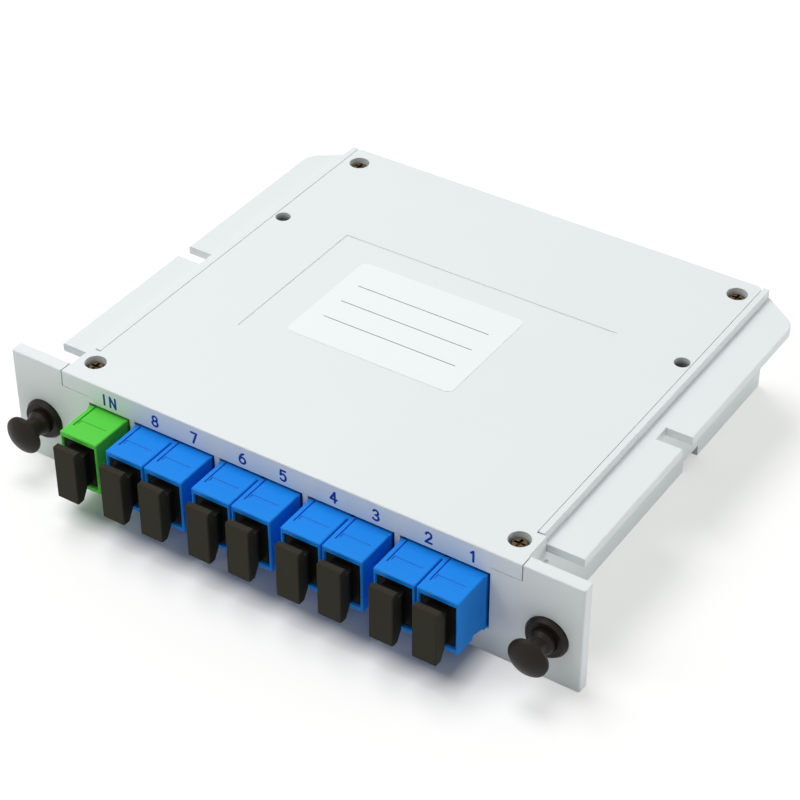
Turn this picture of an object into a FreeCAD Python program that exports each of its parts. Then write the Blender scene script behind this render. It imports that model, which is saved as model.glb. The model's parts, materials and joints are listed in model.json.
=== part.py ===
import FreeCAD, Part
import math
import os

# Plug-in fibre splitter cassette, one input and eight outputs, in millimetres.
#
# A moulded tray with a wide front panel and two side rails slides into a
# rack. Nine SC adapters sit in slots of the panel and are held down by the
# lid. Each adapter has a dust cap that pulls out to the front, and a
# push-pull plunger at each end of the panel locks the cassette in its rack.
# Inside lie the splitter chip in its steel tube, the stored fibre and the
# nine connectors in the adapters' rear ports.
#
# While modelling, X runs along the panel with 0 at its middle, Y runs into
# the case with 0 at the panel's front face, and Z is up with 0 at the
# bottom. The finished pieces are moved along Y so that the origin lies
# under the middle of the whole cassette.

Vector = FreeCAD.Vector

# ---------------------------------------------------------------- sizes ----

# Front panel and case; the case is as wide as the row of adapters and a margin at each end
panel_height = 24.5
panel_thickness = 2.9
panel_edge_radius = 0.5
ear_width = 13.7
case_side_margin = 5.5
case_depth = 100.4
side_wall = 2.3
rear_wall = 2.3
floor_thickness = 2.0
rim_width = 1.3

# Lid
lid_thickness = 2.0
lid_gap = 0.12
lid_corner_radius = 1.2
strip_end_height = 3.65
strip_overhang = 0.9
strip_end_gap = 0.25
strip_clearance = 0.4
front_edge_chamfer = 0.15
clamp_rib_thickness = 1.6
label_field_width = 65.0
label_field_depth = 39.0
label_field_recess = 0.15
label_field_front = 31.15
label_width = 39.0
label_depth = 28.4
label_thickness = 0.1
label_offset = -4.35
label_setback = 4.15
label_corner_radius = 1.6

# Side rails
rail_reach = 8.4
rail_thickness = 1.8
rail_drop = 2.0
rail_front = 9.3
rail_taper_depth = 5.8
rail_taper_end = 0.6
rail_corner_radius = 5.0
rail_edge_chamfer = 0.2
rail_slot_middle = 48.7
rail_slot_width = 4.2
rail_slot_reach = 5.8

# Skirt of the lid at the front corners, in front of the rails, and the block it stands over
skirt_overhang = 0.65
skirt_thickness = 1.85
skirt_depth = 5.55
skirt_rear_gap = 0.3
block_proud = 0.5

# Lid screws and through holes
screw_front_inset = 3.0
screw_front_y = 5.75
screw_rear_inset = 4.9
screw_rear_setback = 4.9
screw_boss_radius = 2.9
screw_boss_overlap = 2.0
lid_boss_radius = 2.5
screw_head_radius = 1.85
screw_head_height = 1.15
screw_head_sink = 0.85
screw_head_chamfer = 0.45
screw_shank_radius = 1.1
screw_shank_length = 9.0
screw_hole_gap = 0.2
screw_pilot_gap = 0.05
screw_pilot_extra = 1.0
screw_slot_width = 0.55
screw_slot_length = 2.3
screw_slot_depth = 0.6
counterbore_radius = 2.2
through_hole_inset = 3.4
through_hole_y = 68.5
through_hole_radius = 1.65
through_boss_radius = 3.1
foot_pocket_width = 6.4
foot_pocket_offset = 0.7
foot_pocket_height = 2.6
foot_pocket_reach = 7.0
foot_pocket_roof = 1.4

# Adapters: nine in the panel, the first alone and the rest in pairs
output_count = 8
adapter_width = 8.9
adapter_pitch = 9.2
adapter_group_gap = 2.0
adapter_bottom = 6.8
adapter_height = 12.2
adapter_proud = 9.7
adapter_behind_panel = 15.4
adapter_edge_chamfer = 0.2
adapter_groove_width = 0.4
adapter_groove_depth = 0.3
adapter_groove_inset = 0.95
adapter_groove_length = 6.9
adapter_field_recess = 0.15
adapter_field_width = 6.2
adapter_field_depth = 1.25
adapter_field_inset = 1.5
adapter_field_setback = 3.6
shoulder_width = 9.16
shoulder_proud = 0.9
shoulder_drop = 0.65
shoulder_gap = 0.4
neck_setback = 0.1
neck_wall = 0.45
neck_roof = 0.85
foot_depth = 7.4
foot_drop = 1.6
relief_start = 4.6
relief_ramp = 0.7
relief_rise = 0.8
relief_end_rise = 0.3
port_width = 7.45
port_height = 9.5
port_chamfer = 0.3
web_thickness = 1.2
housing_radius = 2.5
housing_length = 13.0
rib_thickness = 1.6
rib_gap = 0.1
rib_height = 14.0

# Ceramic sleeve and the connectors behind the adapters
ferrule_radius = 1.25
sleeve_wall = 0.35
sleeve_length = 11.4
sleeve_slit = 0.6
sleeve_gap = 0.1
ferrule_length = 5.5
connector_width = 7.2
connector_height = 9.0
connector_reach = 5.2
connector_gap = 0.3
boot_radius = 1.8
boot_length = 8.6

# Dust caps
cap_plate_width = 5.2
cap_plate_height = 11.9
cap_plate_thickness = 2.0
cap_plate_bottom = 6.7
cap_plate_bulge = 0.9
cap_plate_chamfer = 0.4
cap_side_chamfer = 0.2
cap_front_gap = 1.5
cap_neck_width = 4.6
cap_neck_height = 7.4
cap_recess = 0.35
cap_plug_length = 8.35
cap_side_clearance = 0.2
cap_end_clearance = 0.25
cap_bore_clearance = 0.35
cap_bore_end_clearance = 0.6

# Latches at the panel's ends
latch_inset = 7.1
latch_z = 10.4
latch_hole_radius = 3.8
latch_recess_radius = 4.3
latch_recess_depth = 0.7
grommet_flange_radius = 4.4
grommet_face_radius = 3.9
grommet_flange_thickness = 1.2
grommet_wall = 1.05
grommet_hole_gap = 0.05
grommet_tail = 3.8
grommet_tail_chamfer = 0.35
grommet_ridge = 0.25
grommet_ridge_length = 0.5
grommet_slot_width = 0.8
plunger_clearance = 0.1
plunger_travel = 4.4
plunger_rest_gap = 0.3
plunger_head_radius = 4.1
plunger_head_thickness = 1.3
plunger_dome_rise = 1.2
plunger_rim_chamfer = 0.35
plunger_back_radius = 3.3
plunger_back_slope = 0.5
plunger_neck_radius = 2.1
plunger_neck_length = 3.0
plunger_flare = 0.8
plunger_tail = 4.4
plunger_tip_chamfer = 0.6

# Splitter chip and stored fibre
module_length = 40.0
module_width = 4.0
module_height = 4.0
module_edge = 0.4
cradle_wall = 1.2
cradle_length = 6.0
cradle_gap = 0.05
cradle_height = 5.0
coil_outer_radius = 20.0
coil_band = 4.0
coil_height = 12.0
coil_end_gap = 7.0
coil_rear_gap = 3.6
guide_thickness = 1.4
guide_height = 13.0
guide_gap = 0.3
guide_start_angle = 14.0
guide_end_angle = 74.0
ribbon_width = 2.2
ribbon_thickness = 0.4
fibre_radius = 0.45
fibre_end_gap = 0.1

# ------------------------------------------------------- worked out once ----

output_pairs = output_count // 2
row_length = adapter_pitch * output_count + adapter_group_gap * output_pairs
case_half = (row_length + adapter_pitch) / 2 + shoulder_gap + case_side_margin
panel_half = case_half + ear_width
latch_x = panel_half - latch_inset
screw_front_x = case_half - screw_front_inset
screw_rear_x = case_half - screw_rear_inset
screw_rear_y = case_depth - screw_rear_setback
through_hole_x = case_half - through_hole_inset
foot_pocket_middle = through_hole_y + foot_pocket_offset
lid_bottom = panel_height - lid_thickness
inner_half = case_half - side_wall
inner_back = case_depth - rear_wall
lid_half = case_half - rim_width - lid_gap
rail_top = panel_height - rail_drop
rail_outer = case_half + rail_reach
rail_outer_end = case_depth - rail_taper_depth
skirt_outer = case_half + skirt_overhang
skirt_inner = skirt_outer - skirt_thickness
skirt_bottom = panel_height - skirt_depth
adapter_top = adapter_bottom + adapter_height
adapter_middle = adapter_bottom + adapter_height / 2
adapter_back = panel_thickness + adapter_behind_panel
adapter_length = adapter_proud + adapter_back
web_middle = adapter_back - adapter_length / 2
shoulder_bottom = adapter_bottom - shoulder_drop
foot_end = panel_thickness + foot_depth
rib_front = foot_end + rib_gap
screw_boss_top = lid_bottom - screw_boss_overlap
coil_half_straight = inner_half - coil_end_gap - coil_outer_radius
coil_middle = inner_back - coil_rear_gap - coil_outer_radius
module_middle_level = floor_thickness + module_height / 2
label_front = label_field_front + label_setback
cap_front = adapter_proud + cap_front_gap + cap_plate_bulge + cap_plate_thickness
overall_middle = (case_depth - cap_front) / 2
margin = 1.0


def adapter_centres():
    """X of the nine adapters, input first: one gap after the input and after each pair."""
    centres = [0.0]
    for number in range(output_count):
        gap = adapter_group_gap if number % 2 == 0 else 0.0
        centres.append(centres[-1] + adapter_pitch + gap)
    middle = centres[-1] / 2
    return [x - middle for x in centres]


def adapter_groups():
    """Lowest and highest X of each group of adapters that share one slot of the panel."""
    centres = adapter_centres()
    pairs = [(centres[0], centres[0])]
    for first in range(1, output_count, 2):
        pairs.append((centres[first], centres[first + 1]))
    half = adapter_pitch / 2 + shoulder_gap
    return [(low - half, high + half) for low, high in pairs]


# -------------------------------------------------------------- helpers ----

def box(x0, x1, y0, y1, z0, z1):
    return Part.makeBox(x1 - x0, y1 - y0, z1 - z0, Vector(x0, y0, z0))


def mirrored_boxes(x0, x1, y0, y1, z0, z1):
    """The same box on the right and on the left of the case."""
    return [box(x0, x1, y0, y1, z0, z1), box(-x1, -x0, y0, y1, z0, z1)]


def upright(radius, x, y, z0, z1):
    return Part.makeCylinder(radius, z1 - z0, Vector(x, y, z0), Vector(0, 0, 1))


def along_y(radius, x, z, y0, y1):
    return Part.makeCylinder(radius, y1 - y0, Vector(x, y0, z), Vector(0, 1, 0))


def fuse(shapes):
    joined = shapes[0].multiFuse(shapes[1:])
    return joined.removeSplitter()


def cut(shape, tools):
    for tool in tools:
        shape = shape.cut(tool)
    return shape.removeSplitter()


def corner_arc(before, corner, after, radius):
    """Start, middle and end of the arc that rounds a corner between two straight lines."""
    back = (before - corner).normalize()
    on = (after - corner).normalize()
    half = back.getAngle(on) / 2
    setback = radius / math.tan(half)
    centre = corner + (back + on).normalize() * (radius / math.sin(half))
    middle = centre + (corner - centre).normalize() * radius
    return corner + back * setback, middle, corner + on * setback


def outline(corners, to_space):
    """Flat face from corners (u, v, radius), where to_space turns u and v into a point."""
    points = [to_space(u, v) for u, v, _ in corners]
    starts = []
    ends = []
    arcs = []
    for index, (_, _, radius) in enumerate(corners):
        here = points[index]
        if radius == 0:
            starts.append(here)
            ends.append(here)
            arcs.append(None)
            continue
        before = points[index - 1]
        after = points[(index + 1) % len(points)]
        start, middle, end = corner_arc(before, here, after, radius)
        starts.append(start)
        ends.append(end)
        arcs.append(Part.Arc(start, middle, end).toShape())
    edges = []
    for index in range(len(corners)):
        if arcs[index] is not None:
            edges.append(arcs[index])
        following = starts[(index + 1) % len(corners)]
        edges.append(Part.makeLine(ends[index], following))
    return Part.Face(Part.Wire(edges))


def plan_prism(corners, z0, z1):
    """Outline in X and Y, raised from z0 to z1."""
    face = outline(corners, lambda u, v: Vector(u, v, z0))
    return face.extrude(Vector(0, 0, z1 - z0))


def side_prism(corners, x0, x1):
    """Outline in Y and Z, drawn out from x0 to x1."""
    face = outline(corners, lambda u, v: Vector(x0, u, v))
    return face.extrude(Vector(x1 - x0, 0, 0))


def turned_about_y(profile, x, z):
    """Solid of revolution about a line along Y from a closed profile of (radius, y) points."""
    points = [Vector(x + radius, y, z) for radius, y in profile]
    face = Part.Face(Part.makePolygon(points + points[:1]))
    return face.revolve(Vector(x, 0, z), Vector(0, 1, 0), 360)


def save(name, shape):
    """Move a finished piece into the cassette's own frame and write its file."""
    shape = shape.copy()
    shape.translate(Vector(0, -overall_middle, 0))
    shape.exportStep("parts/" + name + ".step")
    print(name, "solids", len(shape.Solids), "volume", round(shape.Volume, 2), shape.isValid())


# ----------------------------------------------------------------- base ----

def rail(side):
    """One guide rail: flat plate with a click slot, a rounded rear corner and a chamfered outer edge."""
    inner = case_half - side_wall / 2
    corners = [
        (inner, rail_front, 0),
        (rail_outer, rail_front, 0),
        (rail_outer, rail_outer_end, rail_corner_radius),
        (case_half + rail_taper_end, case_depth, 0),
        (inner, case_depth, 0),
    ]
    plate = plan_prism(corners, rail_top - rail_thickness, rail_top)
    soft = [edge for edge in plate.Edges if is_outer_top_edge(edge)]
    plate = plate.makeChamfer(rail_edge_chamfer, soft)
    slot_low = rail_slot_middle - rail_slot_width / 2
    slot_high = rail_slot_middle + rail_slot_width / 2
    slot_inner = rail_outer - rail_slot_reach
    slot = box(slot_inner, rail_outer + margin, slot_low, slot_high, 0, panel_height)
    plate = plate.cut(slot)
    if side < 0:
        plate = plate.mirror(Vector(0, 0, 0), Vector(1, 0, 0))
    return plate


def is_outer_top_edge(edge):
    """True on the rail's top edge along its outer side."""
    box_of_edge = edge.BoundBox
    on_top = abs(box_of_edge.ZMin - rail_top) < 0.01 and abs(box_of_edge.ZMax - rail_top) < 0.01
    return on_top and abs(box_of_edge.XMin - rail_outer) < 0.01


def screw_places():
    """X and Y of the four lid screws."""
    places = []
    for side in (-1, 1):
        places.append((side * screw_front_x, screw_front_y))
        places.append((side * screw_rear_x, screw_rear_y))
    return places


def panel_plate():
    """Front panel with its ears, cut away where the lid's strip and the adapters sit."""
    panel = box(-panel_half, panel_half, 0, panel_thickness, 0, panel_height)
    ends = [edge for edge in panel.Edges if is_ear_end_edge(edge)]
    panel = panel.makeFillet(panel_edge_radius, ends)
    rim = [edge for edge in panel.Edges if edge.BoundBox.YMax < panel_thickness / 4]
    panel = panel.makeChamfer(front_edge_chamfer, rim)
    tools = [strip_shape(lid_gap, strip_end_gap, margin)]
    for low, high in adapter_groups():
        tools.append(box(low, high, -margin, panel_thickness + margin, shoulder_bottom, panel_height))
    for side in (-1, 1):
        x = side * latch_x
        recess_front = panel_thickness - latch_recess_depth
        tools.append(along_y(latch_hole_radius, x, latch_z, -margin, panel_thickness + margin))
        tools.append(along_y(latch_recess_radius, x, latch_z, recess_front, panel_thickness + margin))
    return cut(panel, tools)


def is_ear_end_edge(edge):
    """True on the four upright edges at the panel's two ends."""
    reach = edge.BoundBox
    return reach.ZLength > panel_height / 2 and abs(abs(reach.XMin) - panel_half) < 0.01


def strip_shape(gap, end_gap, overrun):
    """Stepped strip over the adapters; the gaps widen it and overrun carries it past the panel."""
    groups = adapter_groups()
    inner = groups[-1][1]
    outer = case_half + strip_overhang + end_gap
    step = panel_height - strip_end_height - gap
    low = adapter_top + strip_clearance - gap
    top = panel_height + overrun
    corners = [
        (-outer, top),
        (-outer, step),
        (-inner, step),
        (-inner, low),
        (inner, low),
        (inner, step),
        (outer, step),
        (outer, top),
    ]
    points = [Vector(x, -overrun, z) for x, z in corners]
    face = Part.Face(Part.makePolygon(points + points[:1]))
    return face.extrude(Vector(0, panel_thickness + 2 * overrun, 0))


def tray_shell():
    """Open tray behind the panel: floor, side walls with their rims and rear wall."""
    outer = box(-case_half, case_half, panel_thickness, case_depth, 0, lid_bottom)
    inside = box(-inner_half, inner_half, panel_thickness, inner_back, floor_thickness, panel_height)
    rims = mirrored_boxes(lid_half + lid_gap, case_half, rail_front + lid_gap, case_depth,
                          lid_bottom, panel_height)
    return fuse([outer.cut(inside)] + rims)


def skirt_pockets():
    """Room in the side walls and a hair of the panel's back for the lid's two front skirts."""
    return mirrored_boxes(skirt_inner - lid_gap, skirt_outer + lid_gap, panel_thickness - lid_gap,
                          rail_front, skirt_bottom - lid_gap, panel_height)


def corner_blocks():
    """Thicker foot of each side wall at the front, a ledge's width wider than the skirt above it."""
    return mirrored_boxes(case_half - side_wall / 2, skirt_outer + block_proud, panel_thickness / 2,
                          rail_front, 0, skirt_bottom - lid_gap)


def bosses():
    """Round posts under the lid screws and round the two through holes."""
    posts = []
    for x, y in screw_places():
        posts.append(upright(screw_boss_radius, x, y, 0, screw_boss_top))
    for side in (-1, 1):
        posts.append(upright(through_boss_radius, side * through_hole_x, through_hole_y, 0, lid_bottom))
    return posts


def boss_cuts():
    """Pilot holes, room for the lid's own bosses, and the two holes right through the case."""
    pilot_depth = screw_shank_length + screw_pilot_extra
    pilot_bottom = panel_height - screw_head_sink - screw_head_height - pilot_depth
    pilot_radius = screw_shank_radius + screw_pilot_gap
    tools = []
    for x, y in screw_places():
        tools.append(upright(pilot_radius, x, y, pilot_bottom, panel_height))
        tools.append(upright(lid_boss_radius + lid_gap, x, y, screw_boss_top, lid_bottom))
    for side in (-1, 1):
        tools.append(upright(through_hole_radius, side * through_hole_x, through_hole_y,
                             -margin, panel_height))
    return tools


def foot_pocket_roofs():
    """Raised floor over each pocket, so that the pockets don't open into the tray."""
    half = foot_pocket_width / 2 + foot_pocket_roof
    inner = case_half - foot_pocket_reach - foot_pocket_roof
    return mirrored_boxes(inner, case_half, foot_pocket_middle - half, foot_pocket_middle + half,
                          0, foot_pocket_height + foot_pocket_roof)


def foot_pockets():
    """Pockets under the through holes, open at the bottom and at the case's sides."""
    half = foot_pocket_width / 2
    return mirrored_boxes(case_half - foot_pocket_reach, case_half + margin,
                          foot_pocket_middle - half, foot_pocket_middle + half,
                          -margin, foot_pocket_height)


def adapter_rib():
    """Cross wall behind the adapters' feet, with a slot for each adapter."""
    wall = box(-inner_half - margin, inner_half + margin, rib_front, rib_front + rib_thickness,
               0, floor_thickness + rib_height)
    centres = adapter_centres()
    half = adapter_width / 2 + shoulder_gap
    slots = [box(x - half, x + half, rib_front - margin, rib_front + rib_thickness + margin,
                 adapter_bottom, panel_height) for x in centres]
    return cut(wall, slots)


def module_cradle():
    """Two pairs of upright walls that hold the splitter module on the floor."""
    walls = []
    inner = module_width / 2 + cradle_gap
    middle_x = module_length / 2 - cradle_length
    for side in (-1, 1):
        for end in (-1, 1):
            x = end * middle_x
            y0 = coil_middle + min(side * inner, side * (inner + cradle_wall))
            walls.append(box(x - cradle_length / 2, x + cradle_length / 2, y0, y0 + cradle_wall,
                             0, floor_thickness + cradle_height))
    return walls


def guide_fins():
    """Four curved fins that the stored fibre lies round, two at each end of the coil."""
    outer_radius = coil_outer_radius - coil_band - guide_gap
    inner_radius = outer_radius - guide_thickness
    top = floor_thickness + guide_height
    fins = []
    for end in (-1, 1):
        for half in (-1, 1):
            centre = Vector(end * coil_half_straight, coil_middle, 0)
            angles = (guide_start_angle, (guide_start_angle + guide_end_angle) / 2, guide_end_angle)
            outer_points = [arc_point(centre, outer_radius, angle, end, half) for angle in angles]
            inner_points = [arc_point(centre, inner_radius, angle, end, half) for angle in angles]
            edges = [
                Part.Arc(*outer_points).toShape(),
                Part.makeLine(outer_points[2], inner_points[2]),
                Part.Arc(*inner_points).toShape(),
                Part.makeLine(inner_points[0], outer_points[0]),
            ]
            face = Part.Face(Part.Wire(Part.__sortEdges__(edges)))
            fins.append(face.extrude(Vector(0, 0, top)))
    return fins


def arc_point(centre, radius, angle, end, half):
    """Point on a circle, with the angle measured from the outward X direction of that end."""
    turn = math.radians(angle)
    return centre + Vector(end * radius * math.cos(turn), half * radius * math.sin(turn), 0)


def make_base():
    tray = cut(tray_shell(), skirt_pockets())
    solids = [tray, panel_plate(), adapter_rib(), rail(1), rail(-1)]
    solids += corner_blocks() + bosses() + foot_pocket_roofs() + module_cradle() + guide_fins()
    body = fuse(solids)
    tools = boss_cuts() + foot_pockets()
    return cut(body, tools + skirt_pockets())


# ------------------------------------------------------------------ lid ----

def make_lid():
    """Cover plate with the stepped strip, two front skirts, bosses and the adapter clamp."""
    rear = plan_prism([
        (-lid_half, rail_front - margin, 0),
        (lid_half, rail_front - margin, 0),
        (lid_half, case_depth, lid_corner_radius),
        (-lid_half, case_depth, lid_corner_radius),
    ], lid_bottom, panel_height)
    front_end = rail_front - skirt_rear_gap
    front = box(-case_half, case_half, panel_thickness / 2, front_end, lid_bottom, panel_height)
    skirts = mirrored_boxes(skirt_inner, skirt_outer, panel_thickness, front_end, skirt_bottom, panel_height)
    clamp_half = adapter_groups()[-1][1]
    clamp = box(-clamp_half, clamp_half, rib_front, rib_front + clamp_rib_thickness, adapter_top, lid_bottom)
    posts = [upright(lid_boss_radius, x, y, screw_boss_top, lid_bottom) for x, y in screw_places()]
    strip = strip_shape(0, 0, 0).cut(strip_edge())
    plate = fuse([rear, front, strip, clamp] + skirts + posts)
    return cut(plate, lid_cuts())


def strip_edge():
    """Wedge that takes off the strip's top front edge, in line with the panel's own."""
    reach = front_edge_chamfer + margin
    corners = [
        (-margin, panel_height - reach, 0),
        (reach, panel_height + margin, 0),
        (-margin, panel_height + margin, 0),
    ]
    return side_prism(corners, -panel_half, panel_half)


def lid_cuts():
    """Counterbores, screw holes, through holes and the shallow field for the label."""
    floor = panel_height - screw_head_sink - screw_head_height
    tools = []
    for x, y in screw_places():
        tools.append(upright(counterbore_radius, x, y, floor, panel_height + margin))
        tools.append(upright(screw_shank_radius + screw_hole_gap, x, y, 0, panel_height))
    for side in (-1, 1):
        tools.append(upright(through_hole_radius, side * through_hole_x, through_hole_y,
                             0, panel_height + margin))
    half = label_field_width / 2
    tools.append(box(-half, half, label_field_front, label_field_front + label_field_depth,
                     panel_height - label_field_recess, panel_height + margin))
    return tools


def make_label():
    """Sticker with rounded corners, lying in the lid's shallow field."""
    low = label_offset - label_width / 2
    high = label_offset + label_width / 2
    back = label_front + label_depth
    under = panel_height - label_field_recess
    corners = [(low, label_front), (high, label_front), (high, back), (low, back)]
    rounded = [(x, y, label_corner_radius) for x, y in corners]
    return plan_prism(rounded, under, under + label_thickness)


def make_screws():
    """Four pan head screws with cross recesses, seated on the floors of the counterbores."""
    head_top = panel_height - screw_head_sink
    head_bottom = head_top - screw_head_height
    screws = []
    for x, y in screw_places():
        head = upright(screw_head_radius, x, y, head_bottom, head_top)
        rim = [edge for edge in head.Edges if edge.BoundBox.ZMin > head_top - 0.01]
        head = head.makeChamfer(screw_head_chamfer, rim)
        shank = upright(screw_shank_radius, x, y, head_bottom - screw_shank_length, head_bottom)
        reach = screw_slot_length / 2
        half = screw_slot_width / 2
        slots = [
            box(x - reach, x + reach, y - half, y + half, head_top - screw_slot_depth, head_top + margin),
            box(x - half, x + half, y - reach, y + reach, head_top - screw_slot_depth, head_top + margin),
        ]
        screws.append(cut(fuse([head, shank]), slots))
    return Part.makeCompound(screws)


# ------------------------------------------------------------- adapters ----

def adapter_side_outline():
    """Side view of an adapter: front under-cut, shoulder in the panel and foot behind it."""
    front = -adapter_proud
    relief = front + relief_start
    return [
        (front, adapter_top, 0),
        (front, adapter_bottom, 0),
        (relief, adapter_bottom, 0),
        (relief + relief_ramp, adapter_bottom + relief_rise, 0),
        (-shoulder_proud, adapter_bottom - relief_end_rise, 0),
        (-shoulder_proud, shoulder_bottom, 0),
        (panel_thickness + rib_gap, shoulder_bottom, 0),
        (panel_thickness + rib_gap, adapter_bottom - foot_drop, 0),
        (foot_end, adapter_bottom - foot_drop, 0),
        (foot_end, adapter_bottom, 0),
        (adapter_back, adapter_bottom, 0),
        (adapter_back, adapter_top, 0),
    ]


def port(x, mouth, inner):
    """Rectangular hole from a mouth to the web, with a chamfered edge at the mouth."""
    half = port_width / 2
    low = adapter_middle - port_height / 2
    high = adapter_middle + port_height / 2
    hole = box(x - half, x + half, min(mouth, inner), max(mouth, inner), low, high)
    grow = port_chamfer
    inward = grow if inner > mouth else -grow
    wide = rectangle_wire(x, mouth, half + grow, port_height / 2 + grow)
    narrow = rectangle_wire(x, mouth + inward, half, port_height / 2)
    return [hole, Part.makeLoft([wide, narrow], True, True)]


def rectangle_wire(x, y, half_x, half_z):
    """Upright rectangle about the middle line of an adapter at a given Y."""
    corners = [(-1, -1), (1, -1), (1, 1), (-1, 1)]
    points = [Vector(x + u * half_x, y, adapter_middle + v * half_z) for u, v in corners]
    return Part.makePolygon(points + points[:1])


def make_adapter(x):
    half = adapter_width / 2
    shoulder_half = shoulder_width / 2
    body = side_prism(adapter_side_outline(), x - half, x + half)
    body = body.makeChamfer(adapter_edge_chamfer, [edge for edge in body.Edges if is_adapter_rim(edge)])
    shoulder = box(x - shoulder_half, x + shoulder_half, -shoulder_proud, panel_thickness,
                   shoulder_bottom, adapter_top)
    shell = fuse([body, shoulder])
    front_web = web_middle - web_thickness / 2
    rear_web = web_middle + web_thickness / 2
    shell = cut(shell, port(x, -adapter_proud, front_web) + port(x, adapter_back, rear_web))
    housing_start = web_middle - housing_length / 2
    housing = along_y(housing_radius, x, adapter_middle, housing_start, housing_start + housing_length)
    bore_radius = ferrule_radius + sleeve_wall + sleeve_gap
    bore = along_y(bore_radius, x, adapter_middle, housing_start - margin,
                   housing_start + housing_length + margin)
    return cut(fuse([shell, housing]), [bore] + adapter_neck_cuts(x) + adapter_top_marks(x))


def adapter_neck_cuts(x):
    """Thinner neck inside the panel's slot, cut from the top and from both sides above the foot."""
    front = -neck_setback
    outer = shoulder_width / 2 + margin
    inner = port_width / 2 + neck_wall
    roof = adapter_middle + port_height / 2 + neck_roof
    return [
        box(x - outer, x + outer, front, panel_thickness, roof, adapter_top + margin),
        box(x - outer, x - inner, front, panel_thickness, adapter_bottom, adapter_top + margin),
        box(x + inner, x + outer, front, panel_thickness, adapter_bottom, adapter_top + margin),
    ]


def is_adapter_rim(edge):
    """True on the edges round an adapter's front face and along its top sides."""
    reach = edge.BoundBox
    at_front = reach.YMax < 0.01 - adapter_proud
    along_top = reach.YLength > adapter_proud and reach.ZMin > adapter_top - 0.01
    return at_front or along_top


def adapter_top_marks(x):
    """Long groove and shallow field moulded in an adapter's top face."""
    left = x - adapter_width / 2
    groove_x = left + adapter_groove_inset
    groove_top = adapter_top - adapter_groove_depth
    field_x = left + adapter_field_inset
    field_y = adapter_field_setback - adapter_proud
    return [
        box(groove_x, groove_x + adapter_groove_width, -adapter_groove_length, panel_thickness,
            groove_top, adapter_top + margin),
        box(field_x, field_x + adapter_field_width, field_y, field_y + adapter_field_depth,
            adapter_top - adapter_field_recess, adapter_top + margin),
    ]


def make_sleeve(x):
    """Split ceramic sleeve in the middle of an adapter, slit along its top."""
    start = web_middle - sleeve_length / 2
    end = start + sleeve_length
    ring = along_y(ferrule_radius + sleeve_wall, x, adapter_middle, start, end)
    bore = along_y(ferrule_radius, x, adapter_middle, start - margin, end + margin)
    slit = box(x - sleeve_slit / 2, x + sleeve_slit / 2, start - margin, end + margin,
               adapter_middle, adapter_top)
    return cut(ring, [bore, slit])


def make_connector(x):
    """SC plug in the rear port: ferrule in the sleeve, square body and round boot."""
    housing_end = web_middle + housing_length / 2
    body_start = housing_end + connector_gap
    body_end = adapter_back + connector_reach
    half = connector_width / 2
    half_height = connector_height / 2
    body = box(x - half, x + half, body_start, body_end,
               adapter_middle - half_height, adapter_middle + half_height)
    ferrule = along_y(ferrule_radius, x, adapter_middle, body_start - ferrule_length, body_start)
    boot = along_y(boot_radius, x, adapter_middle, body_end, body_end + boot_length)
    return fuse([body, ferrule, boot])


# ------------------------------------------------------------ dust caps ----

def cap_plate_outline():
    """Side view of a cap's grip plate: thicker in the middle and sloped at its lower back."""
    front = -cap_front
    back = front + cap_plate_thickness
    bulge = back + cap_plate_bulge
    low = cap_plate_bottom
    high = low + cap_plate_height
    edge = cap_plate_chamfer
    slope = (cap_plate_height - cap_neck_height) / 2
    return [
        (front, low, 0),
        (front, high - edge, 0),
        (front + edge, high, 0),
        (back - edge, high, 0),
        (back, high - edge, 0),
        (back, high - slope + cap_plate_bulge, 0),
        (bulge, high - slope, 0),
        (bulge, low + slope, 0),
        (back - edge, low, 0),
    ]


def make_cap(x):
    """Dust cap: grip plate, neck, and a plug with a blind bore for the adapter's housing."""
    half = cap_plate_width / 2
    plate = side_prism(cap_plate_outline(), x - half, x + half)
    front_sides = [edge for edge in plate.Edges if is_cap_front_side(edge)]
    plate = plate.makeChamfer(cap_side_chamfer, front_sides)
    plug_front = cap_recess - adapter_proud
    plug_back = plug_front + cap_plug_length
    neck_half = cap_neck_width / 2
    neck_front = -cap_front + cap_plate_thickness
    neck_middle = cap_plate_bottom + cap_plate_height / 2
    neck = box(x - neck_half, x + neck_half, neck_front, plug_front + margin,
               neck_middle - cap_neck_height / 2, neck_middle + cap_neck_height / 2)
    plug_half = port_width / 2 - cap_side_clearance
    plug_half_height = port_height / 2 - cap_end_clearance
    plug = box(x - plug_half, x + plug_half, plug_front, plug_back,
               adapter_middle - plug_half_height, adapter_middle + plug_half_height)
    bore_front = web_middle - housing_length / 2 - cap_bore_end_clearance
    bore = along_y(housing_radius + cap_bore_clearance, x, adapter_middle, bore_front, plug_back + margin)
    return cut(fuse([plate, neck, plug]), [bore])


def is_cap_front_side(edge):
    """True on the two upright edges of a cap's front face."""
    reach = edge.BoundBox
    return reach.YMax < 0.01 - cap_front and reach.ZLength > cap_plate_height / 2


# -------------------------------------------------------------- latches ----

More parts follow.
